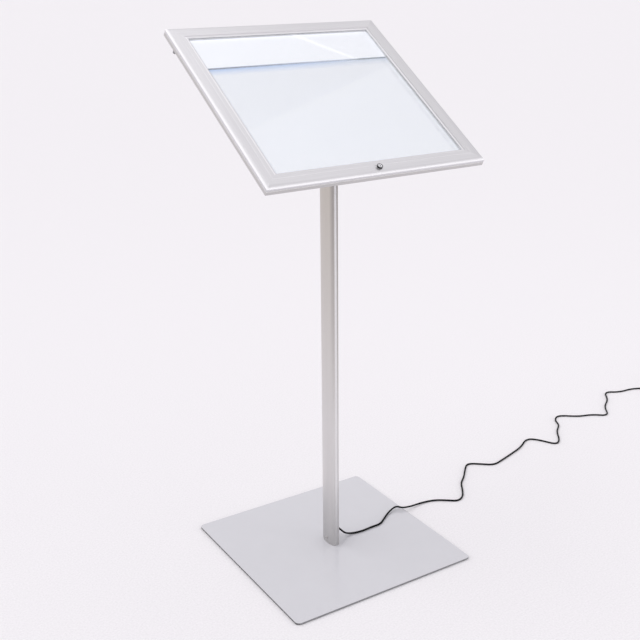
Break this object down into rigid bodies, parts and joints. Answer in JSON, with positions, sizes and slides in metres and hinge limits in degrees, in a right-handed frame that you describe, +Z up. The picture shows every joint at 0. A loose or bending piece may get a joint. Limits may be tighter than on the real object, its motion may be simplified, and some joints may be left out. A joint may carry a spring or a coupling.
{
  "type": "lectern menu display stand",
  "caption": "Free-standing lectern menu display: square floor plate, slim lens-section column and a tilted, lockable, glazed and lit menu case with a power cord.",
  "frame": {"origin": "middle of the underside of the base, on the floor", "axes": "+X to the right seen from the lock side, -Y towards the reader (lock side), +Z up"},
  "size_m": [1.6794, 0.4735, 1.1377],
  "materials": {
    "plate_paint": "satin powder coat",
    "mat_rubber": "matt non-slip sheet",
    "column_anodised": "satin anodised",
    "strip_plastic": "smooth insert strip",
    "frame_anodised": "satin anodised",
    "key_zinc": "die-cast corner keys",
    "back_grey": "grey lacquer",
    "bracket_grey": "grey powder coat",
    "reflector_white": "white film",
    "clear_pane": "clear acrylic",
    "clear_sheet": "clear flexible sheet",
    "channel_clear": "white extruded channel",
    "led_metal": "mill finish",
    "led_board": "white board",
    "led_chip": "lamp",
    "led_lens": "opal diffuser",
    "seal_rubber": "soft seal",
    "steel": "zinc-plated",
    "hinge_metal": "satin",
    "lock_chrome": "bright",
    "cord_black": "round flexible cord",
    "tie_black": "cable tie",
    "adapter_black": "fine grain",
    "pin_nickel": "nickel-plated"
  },
  "bodies": {
    "stand": {"base_mat": "mat_rubber", "base_plate": "plate_paint", "base_screws": "steel", "foot_block": "bracket_grey", "foot_screws": "steel", "column": "column_anodised", "column_strip_front": "strip_plastic", "column_strip_rear": "strip_plastic", "cable_grommet": "seal_rubber", "inner_lead": "cord_black", "head_bracket": "bracket_grey", "spigot_screws": "steel", "bracket_bolts": "steel", "bracket_nuts": "steel", "lead_cover": "back_grey", "case_grommet": "seal_rubber", "case_rail_top": "frame_anodised", "case_rail_bottom": "frame_anodised", "case_rail_left": "frame_anodised", "case_rail_right": "frame_anodised", "case_corner_keys": "key_zinc", "back_panel": "back_grey", "back_panel_screws": "steel", "reflector_sheet": "reflector_white", "menu_channel_left": "channel_clear", "menu_channel_right": "channel_clear", "menu_channel_bottom": "channel_clear", "menu_sheet": "clear_sheet", "led_channel": "led_metal", "led_board": "led_board", "led_chips": "led_chip", "led_diffuser": "led_lens", "rear_buffers": "seal_rubber", "door_seal": "seal_rubber", "hinge_case_leaves": "hinge_metal", "hinge_pins": "steel", "hinge_case_screws": "steel", "power_cord": "cord_black", "cord_coil": "cord_black", "cord_tie": "tie_black", "adapter_body": "adapter_black", "adapter_strain_relief": "cord_black", "adapter_pins": "pin_nickel"},
    "door": {"door_rail_top": "frame_anodised", "door_rail_bottom": "frame_anodised", "door_rail_left": "frame_anodised", "door_rail_right": "frame_anodised", "door_corner_keys": "key_zinc", "glazing": "clear_pane", "glazing_gasket": "seal_rubber", "glazing_beads": "channel_clear", "hinge_door_leaves": "hinge_metal", "hinge_door_screws": "steel", "lock_body": "lock_chrome", "lock_nut": "steel"},
    "lock_core": {"lock_plug": "lock_chrome", "lock_cam": "steel", "cam_screw": "steel"}
  },
  "joints": [
    {"name": "door_hinge", "type": "hinge", "parent": "stand", "child": "door", "pos_m": [0, 0.21337, 1.13394], "axis": [-1, 0, 0], "range_deg": [0, 100]},
    {"name": "lock_turn", "type": "hinge", "parent": "door", "child": "lock_core", "pos_m": [0, -0.17614, 0.89858], "axis": [0, 0.5344, -0.8453], "range_deg": [0, 90]}
  ]
}
